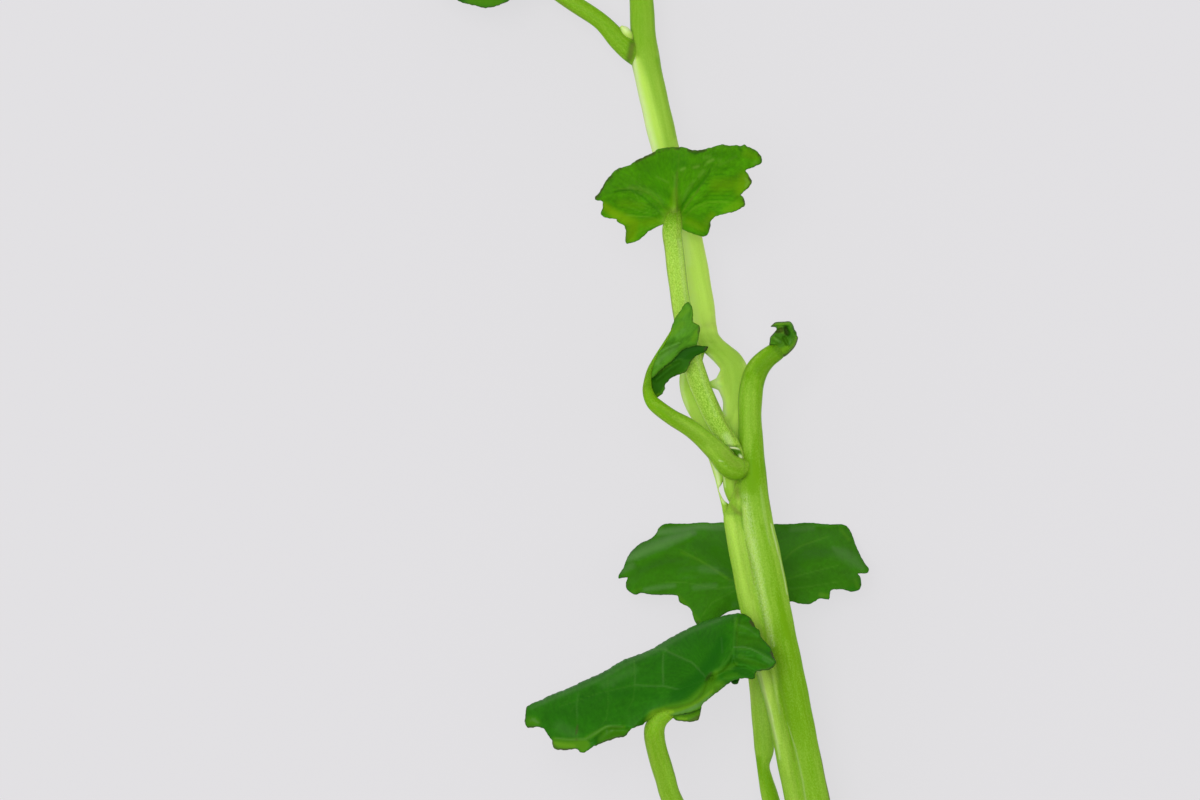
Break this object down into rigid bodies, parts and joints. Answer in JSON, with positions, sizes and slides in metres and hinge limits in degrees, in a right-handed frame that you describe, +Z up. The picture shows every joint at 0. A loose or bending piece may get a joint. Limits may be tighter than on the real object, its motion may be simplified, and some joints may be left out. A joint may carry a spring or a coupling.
{
  "type": "japanese cress sprig",
  "caption": "Cut sprig of a round-leaved water cress lying on its side: a ribbed forked stem, bowed side stalks and rounded, wavy-edged leaves.",
  "frame": {"origin": "under the middle of the sprig, on the surface that it rests on", "axes": "+Y from the cut end to the growing tips, +Z up from the surface, +X to the right when seen from above with +Y away"},
  "size_m": [0.0456, 0.1203, 0.0234],
  "materials": {
    "main_stem_green": "smooth, moist yellow-green stem",
    "rear_stem_green": "pale yellow-green stem",
    "stalk_green": "yellow-green leaf stalk",
    "leaf_dark": "dark green leaf, soft sheen",
    "leaf_light": "fresh green leaf, soft sheen",
    "leaf_young": "young green leaf, soft sheen"
  },
  "bodies": {
    "root": {"main_stem": "main_stem_green", "rear_stem_lower": "rear_stem_green", "rear_stem_upper": "rear_stem_green", "rear_side_stalk": "rear_stem_green", "upper_leaf_stalk": "stalk_green", "folded_leaf_stalk": "stalk_green", "rear_leaf_stalk": "stalk_green", "front_leaf_stalk": "stalk_green", "top_leaf_stalk": "stalk_green", "tip_leaf_stalk": "stalk_green", "curled_leaf": "leaf_young", "tip_bud": "leaf_young", "front_axil_bud": "leaf_young", "rear_axil_bud": "stalk_green", "upper_leaf": "leaf_light", "rear_leaf": "leaf_dark", "front_leaf": "leaf_dark", "folded_leaf": "leaf_young", "top_leaf": "leaf_dark", "tip_leaf": "leaf_young"}
  },
  "joints": []
}
